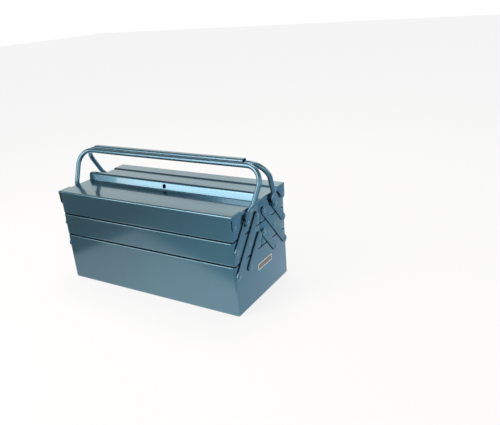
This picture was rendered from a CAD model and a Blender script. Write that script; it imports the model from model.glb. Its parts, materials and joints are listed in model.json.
# %% [markdown]
# A cantilever tool box, dressed for a picture
# ============================================
# The construction model brings every piece as a plain solid in its right
# place, on the bodies that its joints move. This script builds the pieces
# that the eye meets again as fine surfaces: folded sheet with rolled rims,
# bent tubes, domed rivets and flat bars with soft edges. Then it paints
# them, and lights them like a plain studio shot.

import json
import math

import bmesh
import bpy
import numpy as np
from mathutils import Matrix, Vector


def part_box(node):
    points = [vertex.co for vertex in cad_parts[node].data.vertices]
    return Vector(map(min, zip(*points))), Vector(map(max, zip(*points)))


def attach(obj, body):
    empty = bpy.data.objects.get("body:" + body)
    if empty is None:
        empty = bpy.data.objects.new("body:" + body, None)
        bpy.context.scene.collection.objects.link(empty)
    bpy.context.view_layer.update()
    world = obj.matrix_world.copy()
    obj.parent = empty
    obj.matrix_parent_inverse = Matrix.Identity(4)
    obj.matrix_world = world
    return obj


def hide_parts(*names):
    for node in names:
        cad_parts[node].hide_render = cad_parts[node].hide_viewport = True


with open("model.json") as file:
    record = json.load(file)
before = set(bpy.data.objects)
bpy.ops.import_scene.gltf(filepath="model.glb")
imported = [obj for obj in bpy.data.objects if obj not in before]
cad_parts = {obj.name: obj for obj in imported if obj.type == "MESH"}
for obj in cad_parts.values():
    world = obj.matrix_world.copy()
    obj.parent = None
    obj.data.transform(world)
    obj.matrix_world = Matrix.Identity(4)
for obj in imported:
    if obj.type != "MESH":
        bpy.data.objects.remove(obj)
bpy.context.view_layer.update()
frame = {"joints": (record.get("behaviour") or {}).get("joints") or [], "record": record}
MM = 0.001
BODY_OF = {n: b for b, ns in frame["record"]["behaviour"]["bodies"].items() for n in ns}
SIDES = {"front": -1.0, "rear": 1.0}
ENDS = {"left": -1.0, "right": 1.0}

# %% [markdown]
# Measures taken from the solids
# ------------------------------
# Nothing below guesses where a piece is. The boxes of the solids give the
# length of the trough and the heights of the rims, and the joints give the
# pivots. The few sizes that a box can't show, such as the thickness of the
# sheet, are written here once. Places across the box are counted from its
# middle plane outwards, so that one shape serves the front and the rear.


# %% Boxes and pivots in millimetres
def low(node):
    """Lowest corner of a solid's box, in millimetres."""
    return np.array(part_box(node)[0]) / MM


def high(node):
    """Highest corner of a solid's box, in millimetres."""
    return np.array(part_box(node)[1]) / MM


def pivot(joint):
    """A joint's place as (distance from the middle plane, height), in millimetres."""
    place = next(j for j in frame["joints"] if j["name"] == joint)["pos_m"]
    return np.array([abs(place[1]), place[2]]) / MM


SHEET = 0.8  # thickness of the folded sheet
BEND = 3.5  # outer radius of its folds
BEAD = 1.2  # outer radius of a rolled rim
HALF_GAP = 0.5  # from the middle plane to a tray's inner wall
WALL = 100.0  # from the middle plane to the long outer walls
TROUGH_END = high("base_trough")[0]
WEB = high("base_end_right")[0]
BASE_RIM = high("base_trough")[2]
MIDDLE_FLOOR, MIDDLE_RIM = low("rear_middle_trough")[2], high("rear_middle_trough")[2]
TOP_FLOOR, TOP_RIM = low("rear_top_trough")[2], high("rear_top_trough")[2]
print("trough ends at", TROUGH_END, "and the end walls at", WEB)

# %% [markdown]
# Grids that weld into one shell
# ------------------------------
# Every new piece is a few grids of points, each worked out as one numpy
# array. A point has four numbers: its place, and how much a hand or a
# cloth has rubbed it, from 0 on a flat to 1 on an edge. The grids meet at
# shared points, so the helper below only has to merge the points that
# coincide to get a closed shell. Adding Blender primitives and joining
# them would need booleans, which leave bad shading along every cut.

# %% Grids and flat faces into a mesh object
WELD_STEPS = 500  # steps per millimetre that a point is rounded to before it merges with others
WELD_SHIFT = 0.137  # keeps round sizes away from the edge between two steps


def grid_faces(rows, cols, wrap, start):
    """Quads (r, c), (r, c+1), (r+1, c+1), (r+1, c) of a grid, whose columns close on themselves where wrap is true."""
    r = np.arange(rows - 1)[:, None]
    c = np.arange(cols if wrap else cols - 1)[None, :]
    nxt = (c + 1) % cols
    quads = np.stack([r * cols + c, r * cols + nxt, (r + 1) * cols + nxt, (r + 1) * cols + c], -1)
    return (quads.reshape(-1, 4) + start).tolist()


def shell(name, grids, flats=(), crease=32.0):
    """Object made of grids, given as (points, wrap), and of flat many-sided faces, with its points in mm.

    Points that round to the same step are merged, and keep the largest rubbing among them."""
    points, faces, start = [], [], 0
    for grid, wrap in grids:
        rows, cols = grid.shape[:2]
        faces += grid_faces(rows, cols, wrap, start)
        points.append(grid.reshape(-1, 4))
        start += rows * cols
    for flat in flats:
        faces.append(list(range(start, start + len(flat))))
        points.append(flat)
        start += len(flat)
    points = np.concatenate(points)
    step_of = np.round(points[:, :3] * WELD_STEPS + WELD_SHIFT)
    _, first, same = np.unique(step_of, axis=0, return_index=True, return_inverse=True)
    same = same.ravel()
    rubbed = np.zeros(len(first))
    np.maximum.at(rubbed, same, points[:, 3])
    faces = [list(dict.fromkeys(same[face].tolist())) for face in faces]
    mesh = bpy.data.meshes.new(name)
    mesh.from_pydata((points[first, :3] * MM).tolist(), [], [face for face in faces if len(face) > 2])
    mesh.attributes.new("rubbed", "FLOAT", "POINT").data.foreach_set("value", rubbed.astype(np.float32))
    bm = bmesh.new()
    bm.from_mesh(mesh)
    bmesh.ops.recalc_face_normals(bm, faces=bm.faces)
    open_edges = sum(not e.is_manifold for e in bm.edges)
    bm.to_mesh(mesh)
    bm.free()
    mesh.polygons.foreach_set("use_smooth", np.ones(len(mesh.polygons), bool))
    mesh.set_sharp_from_angle(angle=math.radians(crease))
    piece = bpy.data.objects.new(name, mesh)
    bpy.context.scene.collection.objects.link(piece)
    if open_edges:
        print("  open edges on", name, open_edges)
    return piece


# %% Pieces onto their bodies
def dress(piece, node, material):
    """Lets a piece ride on the body of the solid it stands for, hides that solid, and gives the piece its finish."""
    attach(piece, BODY_OF[node])
    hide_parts(node)
    piece.data.materials.append(material)
    return piece


# %% [markdown]
# Paths for folded sheet
# ----------------------
# The base, the trays, the lids and the ridge are all one thing to a
# metalworker: a flat sheet, folded along straight lines. In section each
# is a thin path with round bends. So one function rounds the corners of a
# path, one moves a path sideways to get the other skin, and one draws the
# section out along X. The bends are marked as rubbed, and a point a little
# way along each flat stops the rubbing from spreading over it.

# %% Round corners and the second skin
GUARD = 2.5  # from the end of a bend to the point that guards the flat beside it


def arc(center, radius, start, stop, steps=9, rub=1.0):
    """Points center + radius * (cos t, sin t) for t from start to stop degrees, each with its rubbing."""
    t = np.radians(np.linspace(start, stop, steps))
    return np.stack([center[0] + radius * np.cos(t), center[1] + radius * np.sin(t), np.full(steps, rub)], -1)


def flat_to(*places):
    """Plain unrubbed path points."""
    return np.array([[p[0], p[1], 0.0] for p in places])


def rounded(points, radii, steps=8, guard=GUARD):
    """Path whose inner corners become arcs: an arc starts radius / tan(half the corner's angle) before the corner.

    A further point guards each end of an arc, at most 0.45 of the straight length that the arcs leave."""
    points = np.asarray(points, float)
    run = np.diff(points, axis=0)
    length = np.linalg.norm(run, axis=1)
    run /= length[:, None]
    halves = 0.5 * np.arccos(np.clip(-(run[:-1] * run[1:]).sum(1), -1, 1))
    reaches = np.concatenate([[0], np.array(radii) / np.tan(halves), [0]])
    spare = np.minimum(guard, 0.45 * (length - reaches[:-1] - reaches[1:]))
    out = [flat_to(points[0])]
    for i, radius in enumerate(radii, 1):
        u, v, corner, half, reach = -run[i - 1], run[i], points[i], halves[i - 1], reaches[i]
        center = corner + (u + v) / np.linalg.norm(u + v) * radius / math.sin(half)
        a0, a1 = (math.atan2(*(corner + w * reach - center)[::-1]) for w in (u, v))
        turn = (a1 - a0 + math.pi) % (2 * math.pi) - math.pi
        bend = arc(center, radius, math.degrees(a0), math.degrees(a0 + turn), steps)
        out += [flat_to(corner + u * (reach + spare[i - 1])), bend, flat_to(corner + v * (reach + spare[i]))]
    out.append(flat_to(points[-1]))
    return np.concatenate(out)


def beside(path, distance):
    """Path moved sideways along its mitred normals, to the left of its run where distance is positive."""
    step = np.diff(path[:, :2], axis=0)
    step /= np.linalg.norm(step, axis=1, keepdims=True)
    normal = np.stack([-step[:, 1], step[:, 0]], -1)
    before, after = np.vstack([normal[:1], normal]), np.vstack([normal, normal[-1:]])
    mitre = before + after
    mitre /= np.linalg.norm(mitre, axis=1, keepdims=True)
    moved = path.copy()
    moved[:, :2] += mitre * (distance / (mitre * after).sum(1))[:, None]
    return moved


# %% Sections drawn out along X
def drawn(path, stations, side=1.0):
    """Grid of a section drawn out along X, with a row per station and a column per path point.

    Side -1 mirrors it to the front."""
    stations = np.asarray(stations, float)
    grid = np.empty((len(stations), len(path), 4))
    grid[..., 0] = stations[:, None]
    grid[..., 1] = side * path[:, 0]
    grid[..., 2] = path[:, 1]
    grid[..., 3] = path[:, 2]
    return grid


def strip_between(first, second):
    """Two-row grid that closes the gap between two rows of points."""
    return np.stack([first, second])


def folded_sheet(name, path, thickness, stations, side):
    """Closed sheet: the two skins drawn out along X, with a narrow strip round all four edges."""
    skin, back = drawn(path, stations, side), drawn(beside(path, thickness), stations, side)
    edges = [strip_between(skin[i], back[i]) for i in (0, -1)]
    edges += [strip_between(skin[:, i], back[:, i]) for i in (0, -1)]
    return shell(name, [(g, False) for g in [skin, back] + edges])


# %% [markdown]
# Troughs with rolled rims
# ------------------------
# The base and the four trays are troughs: a floor between two walls. Each
# long wall's rim is rolled into a small bead, which takes the sharpness
# off and shows as a bright line along every tray. The bead is the same
# sheet carried on round a small circle, so it is simply more of the path:
# outwards where the rim is free, inwards where a lid or the other tray
# passes close by.

# %% Trough sections
CURL_ROOM = 4  # height below the rim at which a wall's straight run ends


def rim_curl(wall, rim, inward, toward):
    """Curl of the outer skin at the top of a wall: three quarters of a circle on the wall's top, inwards or outwards.

    toward is +1 where the trough's inside lies at greater distances. The circle touches the inner skin when it
    turns outwards and the outer skin when it turns inwards."""
    if inward:
        center, radius, turns = (wall + toward * BEAD, rim - BEAD), BEAD, (180, -80)
    else:
        center, radius, turns = (wall - toward * (BEAD - SHEET), rim - BEAD), BEAD - SHEET, (0, 250)
    curl = arc(center, radius, *turns, steps=16)
    if toward < 0:
        curl[:, 0] = 2 * center[0] - curl[:, 0]
    return curl


def trough_path(inner, outer, floor, rim, inner_inward, outer_inward):
    """Outer skin from one curl, down its wall, across the floor and up to the other curl."""
    top = rim - CURL_ROOM
    walls = rounded([(inner, top), (inner, floor), (outer, floor), (outer, top)], [BEND, BEND])
    return np.concatenate([rim_curl(inner, rim, inner_inward, 1)[::-1], walls, rim_curl(outer, rim, outer_inward, -1)])


# %% Base and trays
STATIONS = np.linspace(-TROUGH_END, TROUGH_END, 13)
TROUGHS = {"base_trough": (trough_path(-WALL, WALL, 0, BASE_RIM, False, False), 1.0)}
for side, sign in SIDES.items():
    TROUGHS[side + "_middle_trough"] = (trough_path(HALF_GAP, WALL, MIDDLE_FLOOR, MIDDLE_RIM, True, False), sign)
    TROUGHS[side + "_top_trough"] = (trough_path(HALF_GAP, WALL, TOP_FLOOR, TOP_RIM, True, True), sign)
troughs = {n: folded_sheet("dressed_" + n, path, SHEET, STATIONS, sign) for n, (path, sign) in TROUGHS.items()}
print("troughs:", len(troughs))

# %% [markdown]
# End pans
# --------
# A trough gets its ends from two pressed pans. A pan is a flat web whose
# border turns in by a quarter of a circle, round the two standing corners
# and along the floor, and laps inside the trough where it is spot welded.
# The border is a grid: along it the outline of the trough, across it the
# angle of the turn. The outline shrinks as the turn goes on, which makes
# the lower corners round in every direction, as pressing does.

# %% Pans and their laps
LAP_REACH = 12  # how far a lap goes on inside the trough
LAP_GAP = 0.02  # between a lap and the wall or floor it is welded to
WEB_GAP = 0.05  # between a lap and the web
CORNER_ROOM = 1.0  # what the wall laps leave free at a right-hand standing corner
RUB_OF_TURN = 0.75  # rubbing halfway round the turned border


def outline(inner, outer, floor, rim, inset, steps=8):
    """Outline of a trough's section from rim to rim, moved inwards by inset; its lower corners keep their centres."""
    r = BEND - inset
    first = arc((inner + BEND, floor + BEND), r, 180, 270, steps, 0.0)
    second = arc((outer - BEND, floor + BEND), r, 270, 360, steps, 0.0)
    return np.concatenate([flat_to((inner + inset, rim)), first, second, flat_to((outer - inset, rim))])


def turned_border(inner, outer, floor, rim, skin, end, side):
    """Rows of the border for turns t from 0 to 90 degrees, where r = bend - skin.

    A row lies at x = start of the bend + r sin t, and its outline is inset by skin + r (1 - cos t)."""
    r = BEND - skin
    rows = []
    for t in np.radians(np.linspace(0, 90, 8)):
        path = outline(inner, outer, floor, rim, skin + r * (1 - math.cos(t)))
        path[:, 2] = RUB_OF_TURN * math.sin(2 * t)
        rows.append(drawn(path, [end * (WEB - BEND + r * math.sin(t))], side)[0])
    return np.stack(rows)


def plank(lowest, highest):
    """Six flat faces of a thin plank, whose thickness is small beside its other two sizes."""
    x, y, z = np.array([lowest, highest]).T
    corners = np.array([[x[i], y[j], z[k], 0] for i in (0, 1) for j in (0, 1) for k in (0, 1)])
    return [corners[f] for f in ([0, 1, 3, 2], [4, 6, 7, 5], [0, 4, 5, 1], [2, 3, 7, 6], [0, 2, 6, 4], [1, 5, 7, 3])]


def laps(inner, outer, floor, rim, end, side):
    """Planks of the floor lap and the two wall laps, each from inside the trough to the web."""
    x0, x1 = sorted([end * (TROUGH_END - LAP_REACH), end * (WEB - SHEET - WEB_GAP)])
    wall_x1 = x1 - CORNER_ROOM if end > 0 else x1
    a, b = inner + SHEET + LAP_GAP, outer - SHEET - LAP_GAP
    wall_z = (floor + BEND, rim - 2 * BEAD - 0.6)
    flats = []
    for c0, c1, (z0, z1), stop in (
        (inner + BEND, outer - BEND, (floor + SHEET + LAP_GAP, floor + 2 * SHEET), x1),
        (a, a + SHEET, wall_z, wall_x1),
        (b - SHEET, b, wall_z, wall_x1),
    ):
        y0, y1 = sorted([side * c0, side * c1])
        flats += plank((x0, y0, z0), (stop, y1, z1))
    return flats


def end_pan(name, inner, outer, floor, rim, end, side):
    """Pan of one end: both skins of the border, both faces of the web, the cut edges and the three laps."""
    skin = turned_border(inner, outer, floor, rim, 0.0, end, side)
    back = turned_border(inner, outer, floor, rim, SHEET, end, side)
    grids = [skin, back, strip_between(skin[0], back[0]), strip_between(skin[:, 0], back[:, 0])]
    grids += [strip_between(skin[:, -1], back[:, -1]), strip_between(skin[-1, [0, -1]], back[-1, [0, -1]])]
    flats = [skin[-1], back[-1]] + laps(inner, outer, floor, rim, end, side)
    return shell(name, [(g, False) for g in grids], flats)


# %% End pans of the base and the trays
PANS = {}
for end, x_sign in ENDS.items():
    PANS["base_end_" + end] = (-WALL, WALL, 0, BASE_RIM, x_sign, 1.0)
    for side, sign in SIDES.items():
        PANS[f"{side}_middle_end_{end}"] = (HALF_GAP, WALL, MIDDLE_FLOOR, MIDDLE_RIM, x_sign, sign)
        PANS[f"{side}_top_end_{end}"] = (HALF_GAP, WALL, TOP_FLOOR, TOP_RIM, x_sign, sign)
pans = {n: end_pan("dressed_" + n, *sizes) for n, sizes in PANS.items()}
print("end pans:", len(pans))

# %% [markdown]
# Lids
# ----
# Each lid is a deck with a step, a lip that drops over the long wall and a
# skirt at each end with an ear for the lid's pivot. The deck is again a
# section drawn out along X, but near the ends its rows turn down through
# a small quarter circle, so that deck and skirt are one skin. The skirt
# itself is flat, so it needs only one face between the turned edge and its
# lower outline.

# %% Measures of a lid
LID_END = high("rear_lid_panel")[0]
DECK_TOP = float(low("front_closing_ridge")[2])
OUTER_DECK = high("rear_lid_panel")[2]
LIP_OUT = high("rear_lid_panel")[1]
STEP_LOW, STEP_HIGH = 67.0, 70.9  # where the step between the inner and the outer deck starts and ends
LIP_BOTTOM = OUTER_DECK - 7.0
SKIRT_BOTTOM = DECK_TOP - 6.0
SKIRT_BEND = 1.6  # outer radius of the fold between deck and skirt
EAR_RADIUS = 7.5
EAR_RUN = 20  # from the ear's middle to the point where the skirt starts to drop
EAR = pivot("rear_lid_open")
print("lid ends at", LID_END, "with decks at", DECK_TOP, "and", OUTER_DECK)

# %% Decks, lips, skirts and ears
deck_path = rounded(
    [(HALF_GAP, DECK_TOP), (STEP_LOW, DECK_TOP), (STEP_HIGH, OUTER_DECK), (LIP_OUT, OUTER_DECK), (LIP_OUT, LIP_BOTTOM)],
    [1.5, 1.5, 2.4],
)


def lid_skin(depth, side):
    """Deck rows from end to end, with turned ends where r = bend - depth and t goes from 0 to 90 degrees.

    There x = end - bend + r sin t, and the section moves in by bend - r cos t. A row just inside each turned end
    guards the flat deck from the end's shading."""
    r = SKIRT_BEND - depth
    rows, turns = [], np.radians(np.linspace(0, 90, 7))
    for x_sign, order in ((-1, turns[::-1]), (1, turns)):
        for t in order:
            path = beside(deck_path, -(SKIRT_BEND - r * math.cos(t)))
            path[0, 0] = HALF_GAP
            path[-1, 1] = LIP_BOTTOM
            path[:, 2] = np.maximum(path[:, 2], 0.8 * math.sin(2 * t))
            rows.append(drawn(path, [x_sign * (LID_END - SKIRT_BEND + r * math.sin(t))], side)[0])
    guards = np.stack(rows[6:8])
    guards[..., 0] += [[GUARD], [-GUARD]]
    return np.stack(rows[:7] + list(guards) + rows[7:])


def skirt_outline():
    """Lower outline of a skirt from the middle gap to the lip: level, down to the ear, round it and up to the lip."""
    ear = arc(EAR, EAR_RADIUS, 180, 360, 25, 0.5)
    return np.concatenate([flat_to((HALF_GAP, SKIRT_BOTTOM), (EAR[0] - EAR_RUN, SKIRT_BOTTOM)), ear])


def lid(name, side):
    """Closed lid: outer and inner skins, two skirts with two faces each, and the cut edges."""
    skin, back = lid_skin(0.0, side), lid_skin(SHEET, side)
    grids = [skin, back] + [strip_between(skin[:, i], back[:, i]) for i in (0, -1)]
    flats = []
    for x_sign, row in ((-1, 0), (1, -1)):
        lower = skirt_outline()
        outer = drawn(lower, [x_sign * LID_END], side)[0]
        inner = drawn(lower, [x_sign * (LID_END - SHEET)], side)[0]
        flats += [np.concatenate([skin[row], outer[::-1]]), np.concatenate([back[row], inner[::-1]])]
        edge_out = np.concatenate([skin[row, :1], outer, skin[row, -1:]])
        edge_in = np.concatenate([back[row, :1], inner, back[row, -1:]])
        grids.append(strip_between(edge_out, edge_in))
    return shell(name, [(g, False) for g in grids], flats)


lids = {f"{side}_lid_panel": lid(f"dressed_{side}_lid_panel", sign) for side, sign in SIDES.items()}
print("lids:", len(lids))

# %% [markdown]
# Sheets with a padlock hole
# --------------------------
# The ridge on the front lid closes over the gap between the lids. It is a
# folded hood on two feet, and its face leans back a little. A hole lets a
# padlock through it and through the strip behind it. A grid has no place
# for a hole, so the part of each wall round the hole is a ring grid
# instead: its inner row is the circle, and its outer row is the rectangle
# of grid points that it leaves out. Both meet the other grids at shared
# points. A boolean would cut the hole too, but with long thin faces.

# %% Skins with a round hole
HOLE_RISE = 7.2  # of the hole's middle over the inner deck
HOLE_HEIGHT = DECK_TOP + HOLE_RISE
HOLE_RADIUS = 4.75
HOLE_HALF = 13.0  # half the length of the stretch that the hole's ring grid fills
HOLE_STATIONS = np.linspace(-HOLE_HALF, HOLE_HALF, 9)
RING_SHARES = np.array([0, 0.04, 0.12, 0.3, 0.6, 1.0])[:, None, None]  # rows from the circle out, close beside it


def hole_ring(run, side):
    """Ring grid round the hole in one wall, given as the run of path points that the ring replaces.

    Ring point = circle point + share * (rectangle point - circle point), and its distance from the middle plane is
    read off the wall by height."""
    up = run if run[0, 1] < run[-1, 1] else run[::-1]
    bottom = np.stack([HOLE_STATIONS, np.full(len(HOLE_STATIONS), up[0, 1])], -1)
    right = np.stack([np.full(len(up), HOLE_HALF), up[:, 1]], -1)
    top = np.stack([HOLE_STATIONS[::-1], np.full(len(HOLE_STATIONS), up[-1, 1])], -1)
    left = np.stack([np.full(len(up), -HOLE_HALF), up[::-1, 1]], -1)
    outer = np.concatenate([bottom[:-1], right[:-1], top[:-1], left[:-1]])
    center = np.array([0, HOLE_HEIGHT])
    spoke = outer - center
    inner = center + spoke * HOLE_RADIUS / np.linalg.norm(spoke, axis=1, keepdims=True)
    places = inner + RING_SHARES * (outer - inner)
    ring = np.zeros((len(RING_SHARES), len(outer), 4))
    ring[..., 0] = places[..., 0]
    ring[..., 1] = side * np.interp(places[..., 1], up[:, 1], up[:, 0])
    ring[..., 2] = places[..., 1]
    ring[0, :, 3] = 1.0
    return ring


def bored_skin(path, columns, across, side):
    """Plain grids and hole rings of one skin, with a hole through each run of columns, given as (first, last)."""
    reach = np.abs(across[0])
    grids = [drawn(path, [-reach, -HOLE_HALF], side), drawn(path, [HOLE_HALF, reach], side)]
    rings, start = [], 0
    for first, last in columns:
        grids.append(drawn(path[start : first + 1], HOLE_STATIONS, side))
        rings.append(hole_ring(path[first : last + 1], side))
        start = last
    grids.append(drawn(path[start:], HOLE_STATIONS, side))
    return grids, rings


def bored_sheet(name, path, thickness, across, columns, side):
    """Closed folded sheet with padlock holes: two bored skins, strips round the four edges and in each hole."""
    back_path = beside(path, thickness)
    skin, skin_rings = bored_skin(path, columns, across, side)
    back, back_rings = bored_skin(back_path, columns, across, side)
    grids = [(g, False) for g in skin + back] + [(r, True) for r in skin_rings + back_rings]
    grids += [(strip_between(a[0], b[0]), True) for a, b in zip(skin_rings, back_rings)]
    for a, b in ((skin[0][0], back[0][0]), (skin[1][-1], back[1][-1])):
        grids.append((strip_between(a, b), False))
    stations = np.concatenate([[across[0]], HOLE_STATIONS, [across[1]]])
    for i in (0, -1):
        a, b = drawn(path[[i]], stations, side)[:, 0], drawn(back_path[[i]], stations, side)[:, 0]
        grids.append((strip_between(a, b), False))
    return shell(name, grids)


def height_run(path, lowest, highest, rising):
    """First and last index of the path points between two heights on a rising or falling wall."""
    going = np.gradient(path[:, 1]) > 1e-6 if rising else np.gradient(path[:, 1]) < -1e-6
    inside = np.flatnonzero((path[:, 1] > lowest) & (path[:, 1] < highest) & going)
    return int(inside[0]), int(inside[-1])


# %% Ridge on the front lid
RIDGE_END = high("front_closing_ridge")[0]
RIDGE_TOP = high("front_closing_ridge")[2]
RIDGE_FACE = -low("front_closing_ridge")[1]
FOOT = 5.0  # width of the feet that are welded to the decks
FRONT_BEND, REAR_BEND, FOOT_BEND = 6.0, 2.0, 0.9
FACE_LEAN = math.radians(13.0)  # lean of the face back from upright
ridge_brow = RIDGE_FACE - (RIDGE_TOP - DECK_TOP) * math.tan(FACE_LEAN)
ridge_path = rounded(
    [(RIDGE_FACE - FOOT, DECK_TOP), (RIDGE_FACE, DECK_TOP), (ridge_brow, RIDGE_TOP), (HALF_GAP, RIDGE_TOP),
     (HALF_GAP, DECK_TOP), (HALF_GAP + FOOT, DECK_TOP)],
    [FOOT_BEND, FRONT_BEND, REAR_BEND, FOOT_BEND],
    steps=17,
    guard=0.3,
)
# The rings reach from just over the foot's bend to just over the hole, and 1.5 mm higher on the upright rear wall.
hole_low, hole_high = DECK_TOP + 1.05, HOLE_HEIGHT + HOLE_RADIUS + 1.6
runs = [height_run(ridge_path, hole_low, hole_high, True), height_run(ridge_path, hole_low, hole_high + 1.5, False)]
ridge = bored_sheet("dressed_front_closing_ridge", ridge_path, SHEET, (-RIDGE_END, RIDGE_END), runs, -1.0)
print("ridge columns round the holes:", runs)

# %% Strip on the rear lid
strip_top = high("rear_closing_strip")[2]
strip_path = rounded([(HALF_GAP + FOOT, DECK_TOP), (HALF_GAP, DECK_TOP), (HALF_GAP, strip_top)], [FOOT_BEND], guard=0.3)
strip_path = np.concatenate([strip_path[:-1], flat_to((HALF_GAP, hole_high)), strip_path[-1:]])
strip_run = [height_run(strip_path, hole_low, hole_high + 0.1, True)]
strip = bored_sheet("dressed_rear_closing_strip", strip_path, -SHEET, (-RIDGE_END, RIDGE_END), strip_run, 1.0)
print("strip columns round the hole:", strip_run)

# %% [markdown]
# The grip channel
# ----------------
# A channel is folded over the rear handle's bar and grips it with two
# lips. It hides the front handle's bar when both are closed, so that one
# hand takes both. It is one more folded sheet, shorter than the bar.

# %% Channel over the rear bar
CHANNEL_SHEET = 1.0
CHANNEL_LIP = 4.3  # how far each lip reaches under the bar
CHANNEL_SHOULDER, LIP_BEND = 4.0, 1.4
(_, near, bottom), (_, far, top) = low("rear_grip_channel"), high("rear_grip_channel")
channel_path = rounded(
    [(near + CHANNEL_LIP, bottom), (near, bottom), (near, top), (far, top), (far, bottom), (far - CHANNEL_LIP, bottom)],
    [LIP_BEND, CHANNEL_SHOULDER, CHANNEL_SHOULDER, LIP_BEND],
    guard=0.8,
)
channel_stations = np.linspace(low("rear_grip_channel")[0], high("rear_grip_channel")[0], 11)
channel = folded_sheet("dressed_rear_grip_channel", channel_path, -CHANNEL_SHEET, channel_stations, 1.0)
print("channel from", channel_stations[0], "to", channel_stations[-1])

# %% [markdown]
# Tube handles with flattened ends
# --------------------------------
# A handle is one length of tube, bent at two corners and pressed flat at
# both ends, where it is drilled for its rivet. So it is a path with a
# section that changes: a circle along the tube, and a rounded slot where
# it is flat. The wall of a tube keeps its girth when it is pressed, so the
# flat is wider than the tube. The path is worked out flat, in the plane of
# the handle, and then leaned back to the closed position.

# %% Frame of a handle
AXIS = np.array([6.6, 268.8])  # middle of the rear bar: distance from the middle plane, and height
TUBE = 5.0  # radius of the tube
FLAT_WIDTH, FLAT_THICK = 14.4, 2.6
TIP = 7.2  # from the rivet to the round tip of the flat
PLAY = 0.1  # gap in which a bar or a handle turns
HEAD_HIGH = 1.6  # height of a rivet's head
FLAT_MIDDLE = high("rear_top_rivets")[0] - HEAD_HIGH - PLAY - FLAT_THICK / 2
FLAT_END, ROUND_START = 22.0, 36.0  # heights along the leg between which the flat eases into the tube
SETTLE_START, SETTLE_RUN = 18.0, 18.0  # where and over which height the leg leaves the plane of the flat
SPLAY = math.radians(7.0)
SPLAY_START = 34.0  # height along the leg from which it splays
CORNER = 32.0  # bend radius of the corners, on the tube's middle
HINGE = pivot("rear_handle_swing")
lean = math.atan2(HINGE[0] - AXIS[0], AXIS[1] - HINGE[1])
reach = math.hypot(HINGE[0] - AXIS[0], AXIS[1] - HINGE[1])
splay_run = (reach - CORNER - SPLAY_START) * math.tan(SPLAY)
foot_x = high("rear_handle_tube")[0] - TUBE - splay_run
print("handle leans", round(math.degrees(lean), 2), "and reaches", round(reach, 2), "from", round(foot_x, 2))


# %% Path of a handle
def ease(t):
    """Smooth step: 3 t squared - 2 t cubed, held at 0 and 1 outside."""
    t = np.clip(t, 0, 1)
    return t * t * (3 - 2 * t)


def half_path():
    """Right half of the handle as rows (x, height, flatness), from the tip of the flat end to the middle of the bar.

    The splayed leg meets the bend where its slope is reached, so the corner turns by 90 degrees plus the splay."""
    corner_x = foot_x + splay_run - CORNER
    tip = -TIP * np.cos(np.linspace(0, np.pi / 2, 9))
    flat = np.linspace(1.5, FLAT_END, 12)
    easing = np.linspace(FLAT_END + 1.2, ROUND_START, 12)
    straight = np.linspace(ROUND_START + 4, reach - CORNER - 4, 8)
    legs = np.concatenate([tip, flat, easing, straight])
    settle = ease((legs - SETTLE_START) / SETTLE_RUN)
    x = FLAT_MIDDLE + (foot_x + (np.maximum(legs, SPLAY_START) - SPLAY_START) * math.tan(SPLAY) - FLAT_MIDDLE) * settle
    flatness = 1 - ease((legs - FLAT_END) / (ROUND_START - FLAT_END))
    t = np.radians(np.linspace(0, 90, 25))
    bend = np.stack([corner_x + CORNER * np.cos(t), reach - CORNER + CORNER * np.sin(t), 0 * t], -1)
    bar = np.stack([np.linspace(corner_x - 4, 0, 14), np.full(14, reach), np.zeros(14)], -1)
    return np.concatenate([np.stack([x, legs, flatness], -1), bend, bar])


# %% Section of a handle
AROUND = 48  # points round the tube
SQUARING = 0.62  # how much the slot's ends are squared off


def handle_tube(side):
    """Tube from tip to tip: each row is a slot-to-circle section set square to the path.

    Section point = (thick * cos t, wide * sin t) with both half sizes eased from the flat to the round by the
    flatness, and a power on cos that squares the slot's ends off less as it gets round."""
    right = half_path()
    left = right[-2::-1] * [-1, 1, 1]
    path = np.concatenate([right, left])
    flat = path[:, 2]
    along = np.gradient(path[:, :2], axis=0)
    along /= np.linalg.norm(along, axis=1, keepdims=True)
    pressed = flat > 0.999
    along[pressed] = np.where(path[pressed, :1] > 0, [[0.0, 1.0]], [[0.0, -1.0]])
    out = np.stack([along[:, 1], -along[:, 0]], -1)
    tip = np.sqrt(np.clip(1 - (np.minimum(path[:, 1], 0) / TIP) ** 2, 0, 1))
    wide = (TUBE + (FLAT_WIDTH / 2 - TUBE) * flat) * np.maximum(tip, 0.02)
    thick = TUBE + (FLAT_THICK / 2 - TUBE) * flat
    t = np.linspace(0, 2 * np.pi, AROUND, endpoint=False)[None]
    power = (1 - SQUARING * flat)[:, None]
    c = np.sign(np.cos(t)) * np.abs(np.cos(t)) ** power
    s = np.sin(t) * np.ones_like(power)
    grid = np.zeros((len(path), AROUND, 4))
    lift = path[:, 1:2] + out[:, 1:2] * thick[:, None] * c
    across = wide[:, None] * s
    grid[..., 0] = path[:, 0:1] + out[:, 0:1] * thick[:, None] * c
    grid[..., 1] = side * (HINGE[0] + across * math.cos(lean) - lift * math.sin(lean))
    grid[..., 2] = HINGE[1] + across * math.sin(lean) + lift * math.cos(lean)
    grid[..., 3] = 0.5 * flat[:, None] * np.abs(s)
    return grid


handle_grids = {side: handle_tube(sign) for side, sign in SIDES.items()}
print("handle rows and columns:", handle_grids["front"].shape[:2])

# %% [markdown]
# Flat bars, rivets and washers
# -----------------------------
# The side bars are punched from strip: flat faces, round ends and edges
# that tumbling has broken. A bar is its outline drawn in by a small
# quarter circle at each face. Rivets and washers are turned shapes, so
# one profile goes round each pivot: a domed head outside, the pin, and
# the upset tail inside the wall.

# %% Plates with broken edges
FACE_INSET = 0.8  # from the broken edge to the flat face, so that the face keeps its flat shading


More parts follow.
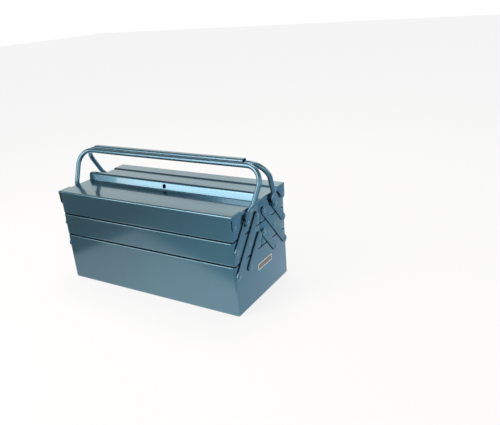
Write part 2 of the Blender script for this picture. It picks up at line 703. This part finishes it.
def plate(outline_at, x0, x1, edge):
    """Closed plate between x0 and x1, as grids and two flat faces.

    Its rows are the outline, drawn in by edge * (1 - sin t) at a depth of edge * (1 - cos t) below each face."""

    def row(x, inset):
        loop = outline_at(inset)
        rub = float(inset <= 0.99 * edge)
        return np.column_stack([np.full(len(loop), x), loop, np.full(len(loop), rub)])

    turns = np.radians(np.linspace(0, 90, 4))
    rows = [row(x0 + edge * (1 - math.cos(t)), edge * (1 - math.sin(t))) for t in turns]
    rows += [row(x1 - edge * (1 - math.cos(t)), edge * (1 - math.sin(t))) for t in turns[::-1]]
    faces = [row(x, edge + FACE_INSET) for x in (x0, x1)]
    margins = [strip_between(rows[0], faces[0]), strip_between(rows[-1], faces[1])]
    return [(grid, True) for grid in [np.stack(rows)] + margins], faces


# %% Side bars
BAR_RADIUS = 7.5
BAR_EDGE = 0.4
BAR_IN, BAR_OUT = low("rear_long_bar_right")[0], high("rear_long_bar_right")[0]


def bar_outline(start, stop, side):
    """Outline of a bar at an inset: half circles of radius - inset round both pivots, joined by straight edges."""
    way = math.degrees(math.atan2(*(stop - start)[::-1]))

    def at(inset):
        r = BAR_RADIUS - inset
        loop = np.concatenate([arc(stop, r, way - 90, way + 90, 17), arc(start, r, way + 90, way + 270, 17)])
        return loop[:, :2] * [side, 1]

    return at


BASE_LONG, TOP_LONG = pivot("rear_trays_open"), pivot("rear_top_tray_level")
BASE_LOWER, MIDDLE_LONG = pivot("rear_lower_bars_turn"), pivot("rear_middle_tray_level")
MIDDLE_UPPER, TOP_UPPER = pivot("rear_upper_bars_turn"), HINGE
MIDDLE_LOWER = np.array([low("rear_lower_bar_right")[1] + BAR_RADIUS, MIDDLE_LONG[1]])
SPANS = {
    "long": (BASE_LONG, TOP_LONG),
    "lower": (BASE_LOWER, MIDDLE_LOWER),
    "upper": (MIDDLE_UPPER, TOP_UPPER),
}
bars = {}
for side, sign in SIDES.items():
    for kind, (start, stop) in SPANS.items():
        for end, x_sign in ENDS.items():
            x0, x1 = sorted([x_sign * BAR_IN, x_sign * BAR_OUT])
            node = f"{side}_{kind}_bar_{end}"
            bars[node] = shell("dressed_" + node, *plate(bar_outline(start, stop, sign), x0, x1, BAR_EDGE))
print("bars:", len(bars))


# %% Turned pieces
def turned(profile, center, end, side, steps=40):
    """Closed turned shape about a pivot's X axis: (x, radius) profile points with rubbing, swept round."""
    profile = np.asarray(profile, float)
    t = np.linspace(0, 2 * np.pi, steps, endpoint=False)
    grid = np.zeros((len(profile), steps, 4))
    grid[..., 0] = end * profile[:, :1]
    grid[..., 1] = side * (center[0] + profile[:, 1:2] * np.cos(t))
    grid[..., 2] = center[1] + profile[:, 1:2] * np.sin(t)
    grid[..., 3] = profile[:, 2:3]
    return grid, True


# %% Profiles of rivets, pins and rings
WALL_IN = WEB - SHEET
HEAD_SEAT = BAR_OUT + PLAY
HANDLE_SEAT = FLAT_MIDDLE + FLAT_THICK / 2 + PLAY
HEAD, HEAD_RIM = 4.5, 0.35  # radius of a rivet's head, and height of the straight rim under its dome
PIN, TAIL_DEEP = 2.5, 1.2
RING, RING_EDGE = 5.5, 0.15  # outer radius of washers and spacers, and their broken edge


def rivet_profile(seat):
    """Tail, pin and domed head, as (x, radius, rubbing): the dome is a quarter ellipse over a short straight rim."""
    tail_x = WALL_IN - TAIL_DEEP
    t = np.radians(np.linspace(0, 90, 10))
    dome = [(seat + HEAD_RIM + (HEAD_HIGH - HEAD_RIM) * math.sin(a), HEAD * math.cos(a), 0.9 * math.cos(a)) for a in t]
    tail = [(tail_x, 0, 0), (tail_x, 2.9, 0), (WALL_IN - 0.9, 3.4, 1), (WALL_IN, 4.0, 0)]
    return tail + [(WALL_IN, PIN, 0), (seat, PIN, 0), (seat, HEAD - 0.15, 0), (seat + 0.1, HEAD, 1)] + dome


def lid_pin_profile():
    """Tail, shoulder that the ear turns on, pin and a low head with a broken edge."""
    ear_in, ear_out = LID_END - SHEET - PLAY, LID_END + PLAY
    tail = [(WALL_IN - 1.2, 0, 0), (WALL_IN - 1.2, 3.3, 0), (WALL_IN - 1.0, 3.5, 1), (WALL_IN, 3.5, 0)]
    shoulder = [(WALL_IN, 2.0, 0), (WEB, 2.0, 0), (WEB, 4.0, 0), (ear_in, 4.0, 0), (ear_in, 2.0, 0), (ear_out, 2.0, 0)]
    head = [(0, 4.4, 0), (0.12, 4.5, 1), (0.6, 4.2, 0.4), (1.0, 3.7, 0.6), (1.2, 3.0, 0.3), (1.3, 1.8, 0), (1.3, 0, 0)]
    return tail + shoulder + [(ear_out + x, radius, rub) for x, radius, rub in head]


def washer_profile():
    """Flat ring with broken outer edges, whose last point closes it on its first."""
    x = WEB + np.array([0, 0, RING_EDGE, 0.65, 0.8, 0.8, 0])
    return list(zip(x, [2.6, 5.35, RING, RING, 5.35, 2.6, 2.6], [0, 0, 1, 1, 0, 0, 0]))


def spacer_profile():
    """Flat ring under a handle's end, with one broken edge."""
    x = HEAD_SEAT + np.array([0, 0, RING_EDGE, 1.02, 1.02, 0])
    return list(zip(x, [2.55, 5.3, RING, RING, 2.55, 2.55], [0, 0, 1, 0, 0, 0]))


# %% Rivets, washers and lid pins
rivet, washer, pin = rivet_profile(HEAD_SEAT), washer_profile(), lid_pin_profile()
base_pivots = [(p, sign) for p in (BASE_LONG, BASE_LOWER) for sign in (1.0, -1.0)]
middle_pivots, top_pivots = (MIDDLE_UPPER, MIDDLE_LONG, MIDDLE_LOWER), (TOP_UPPER, TOP_LONG)
TURNED = {"base_rivets": [(rivet, p, sign) for p, sign in base_pivots]}
for side, sign in SIDES.items():
    TURNED[side + "_middle_rivets"] = [(rivet, p, sign) for p in middle_pivots]
    TURNED[side + "_top_rivets"] = [(rivet_profile(HANDLE_SEAT), TOP_UPPER, sign), (rivet, TOP_LONG, sign)]
TURNED["base_washers"] = [(washer, p, sign) for p, sign in base_pivots]
for side, sign in SIDES.items():
    TURNED[side + "_middle_washers"] = [(washer, p, sign) for p in middle_pivots]
    TURNED[side + "_top_washers"] = [(washer, p, sign) for p in top_pivots]
for side, sign in SIDES.items():
    TURNED[side + "_lid_pivots"] = [(pin, EAR, sign)]
steel = {}
for node, shapes in TURNED.items():
    grids = [turned(profile, p, e, sign) for profile, p, sign in shapes for e in (1, -1)]
    steel[node] = shell("dressed_" + node, grids)
print("rivets, washers and pins:", len(steel))

# %% [markdown]
# Handles on their pivots
# -----------------------
# Each flat end of a handle turns on the top rivet of an upper bar, with a
# ring between it and the bar. The construction model counts the ring as
# part of the handle, so both are one piece here too and swing together.

# %% Handles with their spacers
handles = {}
for side, sign in SIDES.items():
    tube = handle_grids[side]
    spacers = [turned(spacer_profile(), TOP_UPPER, e, sign) for e in (1, -1)]
    node = side + "_handle_tube"
    handles[node] = shell("dressed_" + node, [(tube, True)] + spacers, [tube[0], tube[-1]])
print("handles:", len(handles))

# %% [markdown]
# The label's plate
# -----------------
# A small plate on the right-hand end stands for a sticker. It is made like
# a bar, only thinner and with a rounded rectangle for its outline, so the
# same function serves again, and its broken edge catches a thin light.

# %% Blank label
LABEL_LOW, LABEL_HIGH = low("end_label"), high("end_label")
LABEL_CORNER, LABEL_EDGE = 1.5, 0.1


def label_outline(inset):
    """Rectangle with round corners, at an inset."""
    (_, y0, z0), (_, y1, z1) = LABEL_LOW, LABEL_HIGH
    r = LABEL_CORNER
    corners = [((y1 - r, z1 - r), 0), ((y0 + r, z1 - r), 90), ((y0 + r, z0 + r), 180), ((y1 - r, z0 + r), 270)]
    return np.concatenate([arc(c, r - inset, a, a + 90, 6)[:, :2] for c, a in corners])


label = shell("dressed_end_label", *plate(label_outline, LABEL_LOW[0], LABEL_HIGH[0], LABEL_EDGE))
print("label", (LABEL_HIGH - LABEL_LOW).round(1))

# %% [markdown]
# Finishes
# --------
# The box is sprayed with one metallic steel blue: fine flakes of metal
# under a clear, glossy film. In Blender that is a Principled BSDF with a
# tinted metallic base for the flakes and a coat for the film. Three shared
# groups bring the surface to life. One gives the sprayed film its faint
# cloudiness, its flakes and its orange peel. One lightens the paint where
# hands and cloths rub it, along bends and rims. One lays a little dust and
# handling haze, which only changes how sharp the reflections are.


# %% Small helpers for nodes
def wire(tree, kind, inputs=None, **settings):
    """New node with its settings made, and its inputs either linked from a socket or set to a value."""
    node = tree.nodes.new(kind)
    for key, value in settings.items():
        setattr(node, key, value)
    for key, value in (inputs or {}).items():
        if isinstance(value, bpy.types.NodeSocket):
            tree.links.new(value, node.inputs[key])
        else:
            node.inputs[key].default_value = value
    return node


def maths(tree, operation, a, b=0.0, clamp=False):
    """Output of a Math node on two sockets or numbers."""
    node = wire(tree, "ShaderNodeMath", {0: a, 1: b}, operation=operation, use_clamp=clamp)
    return node.outputs[0]


def blended(tree, share, first, second):
    """Colour between two colours or sockets: first + share * (second - first), also past a share of 1."""
    node = wire(tree, "ShaderNodeMix", {0: share, 6: first, 7: second}, data_type="RGBA", clamp_factor=False)
    return node.outputs[2]


def change(tree, value, start, stop, first=0.0, last=1.0, kind="LINEAR"):
    """Number that goes from first to last while value goes from start to stop, straight or as a smooth step."""
    inputs = {"Value": value, "From Min": start, "From Max": stop, "To Min": first, "To Max": last}
    return wire(tree, "ShaderNodeMapRange", inputs, interpolation_type=kind).outputs["Result"]


def clouding(tree, place, scale, detail, roughness=0.5, distortion=0.0):
    """Cloudy number around one half, with about scale clouds to the metre."""
    inputs = {"Vector": place, "Scale": scale, "Detail": detail, "Roughness": roughness, "Distortion": distortion}
    return wire(tree, "ShaderNodeTexNoise", inputs).outputs["Fac"]


def place_on_object(tree):
    """Place on the piece in its own metres, which moves with it."""
    return wire(tree, "ShaderNodeTexCoord").outputs["Object"]


# %% Small helpers for groups and materials
def new_group(name, takes, gives):
    """Empty shader group with named inputs (name: default) and named outputs (name: kind)."""
    tree = bpy.data.node_groups.new(name, "ShaderNodeTree")
    for key, default in takes.items():
        kind = "NodeSocketColor" if isinstance(default, tuple) else "NodeSocketFloat"
        socket = tree.interface.new_socket(name=key, in_out="INPUT", socket_type=kind)
        socket.default_value = default
    for key, kind in gives.items():
        tree.interface.new_socket(name=key, in_out="OUTPUT", socket_type=kind)
    return tree, tree.nodes.new("NodeGroupInput").outputs, tree.nodes.new("NodeGroupOutput").inputs


def placed(tree, group, values):
    """Shared group placed in a material with its own values."""
    return wire(tree, "ShaderNodeGroup", values, node_tree=group)


def new_finish(name):
    """New material with its node tree and its Principled BSDF."""
    material = bpy.data.materials.new(name)
    material.use_nodes = True
    return material, material.node_tree, material.node_tree.nodes["Principled BSDF"]


PLAIN_BLUE, PALE_BLUE = (0.1, 0.2, 0.26, 1.0), (0.3, 0.4, 0.46, 1.0)  # what the groups' colour inputs start with

# %% Sprayed film
film, takes, gives = new_group(
    "sprayed_film",
    {"Colour": PLAIN_BLUE, "Clouds": 0.05, "Flakes": 0.1, "Peel": 0.4, "Waviness": 0.6},
    {"Colour": "NodeSocketColor", "Height": "NodeSocketFloat"},
)
place = place_on_object(film)
clouds = clouding(film, place, 14.0, 3.0)
flakes = wire(film, "ShaderNodeTexVoronoi", {"Vector": place, "Scale": 2600.0}, feature="F1").outputs["Color"]
flake = wire(film, "ShaderNodeSeparateColor", {"Color": flakes}).outputs["Red"]
tone = maths(film, "MULTIPLY", maths(film, "SUBTRACT", clouds, 0.5), takes["Clouds"])
spark = maths(film, "MULTIPLY", maths(film, "SUBTRACT", flake, 0.5), takes["Flakes"])
value = maths(film, "ADD", maths(film, "ADD", tone, spark), 1.0)
tinted = wire(film, "ShaderNodeHueSaturation", {"Value": value, "Color": takes["Colour"]})
film.links.new(tinted.outputs["Color"], gives["Colour"])
peel = clouding(film, place, 420.0, 1.5, 0.4)
wave = clouding(film, place, 9.0, 1.0, 0.3)
peel = maths(film, "MULTIPLY", peel, takes["Peel"])
wave = maths(film, "MULTIPLY", wave, takes["Waviness"])
film.links.new(maths(film, "ADD", peel, wave), gives["Height"])
print("group", film.name)

# %% Rubbed edges
edges, takes, gives = new_group(
    "rubbed_edges",
    {"Paint": PLAIN_BLUE, "Worn": PALE_BLUE, "Rubbed": 0.0, "Amount": 0.4},
    {"Colour": "NodeSocketColor"},
)
patches = clouding(edges, place_on_object(edges), 90.0, 4.0, 0.65)
chance = change(edges, patches, 0.35, 0.7)
strong = maths(edges, "POWER", takes["Rubbed"], 1.6)
mask = maths(edges, "MULTIPLY", maths(edges, "MULTIPLY", strong, takes["Amount"]), chance, clamp=True)
edges.links.new(blended(edges, mask, takes["Paint"], takes["Worn"]), gives["Colour"])
print("group", edges.name)

# %% Dust and handling haze
haze, takes, gives = new_group(
    "handling_haze",
    {"Clean": 0.2, "Hazy": 0.34, "Cover": 0.5},
    {"Roughness": "NodeSocketFloat"},
)
place = place_on_object(haze)
stretched = wire(haze, "ShaderNodeMapping", {"Vector": place, "Scale": (1.0, 2.2, 3.0)}).outputs["Vector"]
smears = change(haze, clouding(haze, stretched, 11.0, 6.0, 0.6, 0.6), 0.45, 0.75)
specks = change(haze, clouding(haze, place, 700.0, 2.0, 0.7), 0.66, 0.74)
laid = maths(haze, "ADD", maths(haze, "MULTIPLY", specks, 0.35), smears)
cover = maths(haze, "MULTIPLY", laid, takes["Cover"], clamp=True)
haze.links.new(change(haze, cover, 0.0, 1.0, takes["Clean"], takes["Hazy"]), gives["Roughness"])
print("group", haze.name)

# %% [markdown]
# Steel-blue paint for the sheets, the tubes and the bars
# -------------------------------------------------------
# The same recipe serves every painted piece. Sheets, tubes and bars only
# differ in how wavy their metal is and in how much their edges are
# rubbed. The rivets were sprayed with the box, so they have the same film,
# but years of turning bars keep their crowns bright.


# %% Painted finishes
def sprayed(name, colour, worn, amount, waviness, clean, hazy, film_gloss=0.04):
    """Metallic paint under a glossy film, with cloudiness, rubbed edges, haze and orange peel.

    amount is how far its edges are rubbed through, waviness how uneven the metal is, clean and hazy are the
    roughness of the flakes without and with haze, and film_gloss that of the film."""
    material, tree, bsdf = new_finish(name)
    rubbed = wire(tree, "ShaderNodeAttribute", attribute_name="rubbed").outputs["Fac"]
    coat = placed(tree, film, {"Colour": colour, "Clouds": 0.07, "Flakes": 0.12, "Peel": 0.25, "Waviness": waviness})
    wear = placed(tree, edges, {"Paint": coat.outputs["Colour"], "Worn": worn, "Rubbed": rubbed, "Amount": amount})
    dust = placed(tree, haze, {"Clean": clean, "Hazy": hazy, "Cover": 0.45})
    bump = wire(tree, "ShaderNodeBump", {"Height": coat.outputs["Height"], "Strength": 0.5, "Distance": 0.00004})
    tree.links.new(wear.outputs["Colour"], bsdf.inputs["Base Color"])
    tree.links.new(dust.outputs["Roughness"], bsdf.inputs["Roughness"])
    tree.links.new(bump.outputs["Normal"], bsdf.inputs["Normal"])
    bsdf.inputs["Metallic"].default_value = 0.92
    bsdf.inputs["Coat Weight"].default_value = 1.0
    bsdf.inputs["Coat Roughness"].default_value = film_gloss
    bsdf.inputs["Coat IOR"].default_value = 1.5
    return material


STEEL_BLUE, RUBBED_BLUE = (0.070, 0.175, 0.250, 1.0), (0.20, 0.36, 0.45, 1.0)
RIVET_BLUE, BRIGHT_BLUE = (0.10, 0.22, 0.30, 1.0), (0.30, 0.44, 0.52, 1.0)
sheet_paint = sprayed("steel_blue_sheet", STEEL_BLUE, RUBBED_BLUE, 0.16, 0.9, 0.20, 0.30)
tube_paint = sprayed("steel_blue_tube", STEEL_BLUE, RUBBED_BLUE, 0.14, 0.3, 0.30, 0.42, 0.16)
bar_paint = sprayed("steel_blue_bar", STEEL_BLUE, RUBBED_BLUE, 0.35, 0.3, 0.24, 0.36)
rivet_paint = sprayed("steel_blue_rivet", RIVET_BLUE, BRIGHT_BLUE, 0.6, 0.2, 0.24, 0.36)
print("painted finishes:", [m.name for m in (sheet_paint, tube_paint, bar_paint, rivet_paint)])

# %% [markdown]
# The blank label
# ---------------
# A printed film label sits on the right-hand end: a pale border round a
# grey-brown field, with no words. Object coordinates run in metres, so a
# Mapping node puts their zero at the label's middle, and two limits on
# them cut out the field.

# %% Label finish
PRINT_BORDER, PRINT_BLUR = 0.0018, 0.0001
PALE_FILM = (0.80, 0.81, 0.80, 1)
DARK_PRINT, LIGHT_PRINT = (0.16, 0.155, 0.14, 1), (0.24, 0.235, 0.215, 1)
middle = (LABEL_LOW + LABEL_HIGH) / 2 * MM
half = (LABEL_HIGH - LABEL_LOW) / 2 * MM
label_film, tree, bsdf = new_finish("printed_label")
place = place_on_object(tree)
moved = wire(tree, "ShaderNodeMapping", {"Vector": place, "Location": tuple(-middle)}).outputs["Vector"]
parts = wire(tree, "ShaderNodeSeparateXYZ", {"Vector": moved}).outputs
inside = []
for axis, field_edge in (("Y", half[1] - PRINT_BORDER), ("Z", half[2] - PRINT_BORDER)):
    distance = maths(tree, "ABSOLUTE", parts[axis])
    inside.append(change(tree, distance, field_edge + PRINT_BLUR, field_edge - PRINT_BLUR))
field = maths(tree, "MULTIPLY", inside[0], inside[1])
fibres = clouding(tree, place, 900.0, 3.0)
ramp = wire(tree, "ShaderNodeValToRGB", {"Fac": fibres})
ramp.color_ramp.elements[0].color = DARK_PRINT
ramp.color_ramp.elements[1].color = LIGHT_PRINT
tree.links.new(blended(tree, field, PALE_FILM, ramp.outputs["Color"]), bsdf.inputs["Base Color"])
bsdf.inputs["Roughness"].default_value = 0.45
bump = wire(tree, "ShaderNodeBump", {"Height": fibres, "Strength": 0.1, "Distance": 0.0001})
tree.links.new(bump.outputs["Normal"], bsdf.inputs["Normal"])
print("label finish", label_film.name)

# %% [markdown]
# Bodies, slots and finishes
# --------------------------
# Each piece now takes the place of the solid it was made after. It rides
# on that solid's body, so that it follows the joints, and the slot says
# which finish of the construction model it shows.

# %% Every piece gets its body, its slot and its finish
for group in (troughs, pans, lids, {"front_closing_ridge": ridge, "rear_closing_strip": strip}):
    for node, piece in group.items():
        dress(piece, node, sheet_paint)
for node, piece in {**handles, "rear_grip_channel": channel}.items():
    dress(piece, node, tube_paint)
for node, piece in bars.items():
    dress(piece, node, bar_paint)
for node, piece in steel.items():
    dress(piece, node, rivet_paint)
dress(label, "end_label", label_film)

# %% [markdown]
# Camera
# ------
# The box is seen from its front right corner and a little from above, so
# that the lids, the front and the bars on the end all show. A camera looks
# along its own -Z, with X to its right and Y up, and its matrix holds those
# three directions and its place. They are worked out from a turn, a dip
# and a roll, which are easier to think of than a rotation matrix, while a
# Track To constraint would leave no roll.

# %% Camera
CAMERA_AT = np.array([714.61, -836.9, 559.27])
CAMERA_TURN, CAMERA_DIP, CAMERA_ROLL = -31.89, 21.45, 4.53
FOCAL_LENGTH, IMAGE_WIDTH = 550.62, 500.0  # both in pixels of the image
turn, dip, roll = np.radians([CAMERA_TURN, CAMERA_DIP, CAMERA_ROLL])
ahead = np.array([math.sin(turn) * math.cos(dip), math.cos(turn) * math.cos(dip), -math.sin(dip)])
level = np.array([math.cos(turn), -math.sin(turn), 0.0])
down = np.cross(ahead, level)
across = level * math.cos(roll) + down * math.sin(roll)
up = level * math.sin(roll) - down * math.cos(roll)
data = bpy.data.cameras.new("camera")
data.sensor_fit, data.sensor_width = "HORIZONTAL", 36.0
data.lens = FOCAL_LENGTH / IMAGE_WIDTH * data.sensor_width
data.clip_start = 0.01
camera = bpy.data.objects.new("camera", data)
matrix = np.eye(4)
matrix[:3, :] = np.stack([across, up, -ahead, CAMERA_AT * MM], -1)
camera.matrix_world = Matrix(matrix.tolist())
bpy.context.scene.collection.objects.link(camera)
bpy.context.scene.camera = camera
bpy.context.scene.view_settings.view_transform = "Standard"
print("camera at", CAMERA_AT, "mm with a lens of", round(data.lens, 2), "mm")

# %% [markdown]
# Paper floor
# -----------
# A pale paper floor lies under the box. The camera sees it as white, and
# it keeps a part of its own shading, so that the box stands in a soft
# shadow. Glossy paint shows what lies round it, so what the paint's
# reflections see of the floor matters more to its look than the lamps do.
# They see the paper bright in a pool on the right of the front and dim
# outside it, and cooler and darker beside the near end. Light Path gives
# these tones to glossy rays alone, so none of them lights the box.

# %% Tones of the paper
BLACK, WHITE = (0.0, 0.0, 0.0, 1), (1.0, 1.0, 1.0, 1)
POOL_TINT, SHADE_TINT = (0.98, 0.97, 0.91, 1), (0.62, 0.95, 1.0, 1)
NEAR_END, BESIDE = (0.60, 0.76, 0.84, 1), (0.27, 0.50, 0.65, 1)


def smooth(tree, value, start, stop, first=0.0, last=1.0):
    """Smooth step from first to last between two values."""
    return change(tree, value, start, stop, first, last, "SMOOTHSTEP")


def paper_tone(tree):
    """Colour of the paper in reflections, by its place in metres.

    In front of the box the pool lies right of one slanting line and behind another, and both the pool and the shade
    beside it get brighter to the right. Beside the box the tone falls from NEAR_END to BESIDE with the distance."""
    xyz = wire(tree, "ShaderNodeSeparateXYZ", {"Vector": place_on_object(tree)}).outputs
    x, y = xyz["X"], xyz["Y"]
    from_left = maths(tree, "ADD", x, maths(tree, "MULTIPLY", y, 0.249))
    from_near = maths(tree, "SUBTRACT", y, maths(tree, "MULTIPLY", x, 0.377))
    in_pool = maths(tree, "MULTIPLY", smooth(tree, from_left, -0.375, -0.335), smooth(tree, from_near, -0.29, -0.235))
    shade = blended(tree, smooth(tree, x, -0.5, 0.2, 0.14, 0.64), BLACK, SHADE_TINT)
    pool = blended(tree, smooth(tree, x, -0.45, 0.25, 0.60, 1.27), BLACK, POOL_TINT)
    in_front = blended(tree, in_pool, shade, pool)
    at_end = blended(tree, smooth(tree, x, 0.25, 0.46), NEAR_END, BESIDE)
    return blended(tree, smooth(tree, y, -0.09, -0.10), at_end, in_front)


# %% Paper floor
FLOOR_HALF = 9
SEEN_WHITE, SEEN_GLOSSY = 0.80, 0.9  # shares of the plain tones for the camera and in reflections
floor_mesh = bpy.data.meshes.new("studio_floor")
floor_corners = [(x * FLOOR_HALF, y * FLOOR_HALF, 0) for x, y in ((-1, -1), (1, -1), (1, 1), (-1, 1))]
floor_mesh.from_pydata(floor_corners, [], [(0, 1, 2, 3)])
floor = bpy.data.objects.new("studio_floor", floor_mesh)
bpy.context.scene.collection.objects.link(floor)
pale, tree, paper = new_finish("paper_floor")
paper.inputs["Base Color"].default_value = (0.86, 0.86, 0.86, 1)
paper.inputs["Roughness"].default_value = 0.9
paper.inputs["Specular IOR Level"].default_value = 0.1
rays = wire(tree, "ShaderNodeLightPath").outputs
tone_seen = blended(tree, rays["Is Camera Ray"], paper_tone(tree), WHITE)
glow = wire(tree, "ShaderNodeEmission", {"Color": tone_seen, "Strength": 1.0})
by_camera = maths(tree, "MULTIPLY", rays["Is Camera Ray"], SEEN_WHITE)
by_gloss = maths(tree, "MULTIPLY", rays["Is Glossy Ray"], SEEN_GLOSSY)
seen = maths(tree, "ADD", by_camera, by_gloss, clamp=True)
mixed = wire(tree, "ShaderNodeMixShader", {0: seen, 1: paper.outputs[0], 2: glow.outputs[0]})
tree.links.new(mixed.outputs[0], tree.nodes["Material Output"].inputs["Surface"])
floor.data.materials.append(pale)
print("floor laid")

# %% [markdown]
# White backdrop
# --------------
# The backdrop is the World: plain white for the camera, and a soft even
# light on the box. Reflections see a studio in it instead: paper that
# brightens upwards to a band a third of the way up, a dark ceiling over
# it, and a fall towards the left, where the paper ends. The levels stand
# on a ramp along the height of the direction that a ray takes.

# %% White backdrop
AMBIENT = 0.62  # light that the backdrop throws on the box, where white is 1
ROOM = ((0.0, 0.80), (0.28, 0.84), (0.38, 1.0), (0.43, 0.92), (0.56, 0.27), (1.0, 0.25))  # height and level
ROOM_TINT = (0.92, 1.0, 0.97, 1)
world = bpy.data.worlds.new("studio_backdrop")
bpy.context.scene.world = world
world.use_nodes = True
tree = world.node_tree
back = tree.nodes["Background"]
rays = wire(tree, "ShaderNodeLightPath").outputs
direction = wire(tree, "ShaderNodeTexCoord").outputs["Generated"]
ways = wire(tree, "ShaderNodeSeparateXYZ", {"Vector": direction}).outputs
room = wire(tree, "ShaderNodeValToRGB", {"Fac": ways["Z"]})
stops = room.color_ramp.elements
for height, _ in ROOM[1:-1]:
    stops.new(height)
for stop, (_, level) in zip(stops, ROOM):
    stop.color = (level, level, level, 1)
left_fall = smooth(tree, ways["X"], -0.56, -0.36, 0.98, 1.5)
mirrored = maths(tree, "SUBTRACT", maths(tree, "MULTIPLY", room.outputs["Color"], left_fall), AMBIENT)
strength = maths(tree, "ADD", AMBIENT, maths(tree, "MULTIPLY", rays["Is Camera Ray"], 1.0 - AMBIENT))
strength = maths(tree, "ADD", strength, maths(tree, "MULTIPLY", rays["Is Glossy Ray"], mirrored))
tree.links.new(strength, back.inputs["Strength"])
tree.links.new(blended(tree, rays["Is Glossy Ray"], WHITE, ROOM_TINT), back.inputs["Color"])
print("backdrop levels:", ROOM)

# %% [markdown]
# Lamps
# -----
# Four soft boxes light the box. A broad key stands low on the left of the
# camera. A smaller one above it draws the soft line along the ridge and
# the tubes. One hangs over the back and lights the lids, and a weak one on
# the right keeps the end from going dark. They are broad, so that the
# tubes and the rolled rims carry long soft lines of light and not hot
# spots, and a little warm, like studio lamps beside the cool paint.

# %% Soft lamps
AIM = Vector((0, 0, 0.12))
WARM = (1.0, 0.89, 0.81)


def softbox(name, at, size, power):
    """Square lamp of a size in metres and a power in watts, turned towards the middle of the box."""
    lamp = bpy.data.lights.new(name, "AREA")
    lamp.shape, lamp.size, lamp.energy, lamp.color = "SQUARE", size, power, WARM
    holder = bpy.data.objects.new(name, lamp)
    bpy.context.scene.collection.objects.link(holder)
    holder.location = at
    holder.rotation_euler = (AIM - Vector(at)).to_track_quat("-Z", "Y").to_euler()


softbox("key_lamp", (-0.66, -1.2, 0.34), 0.9, 9.5)
softbox("brow_lamp", (-0.5, -1.1, 1.15), 0.6, 6.5)
softbox("top_lamp", (-0.1, 0.5, 1.9), 0.8, 11)
softbox("fill_lamp", (1.4, -0.7, 1.1), 0.9, 3)
print("lamps set")
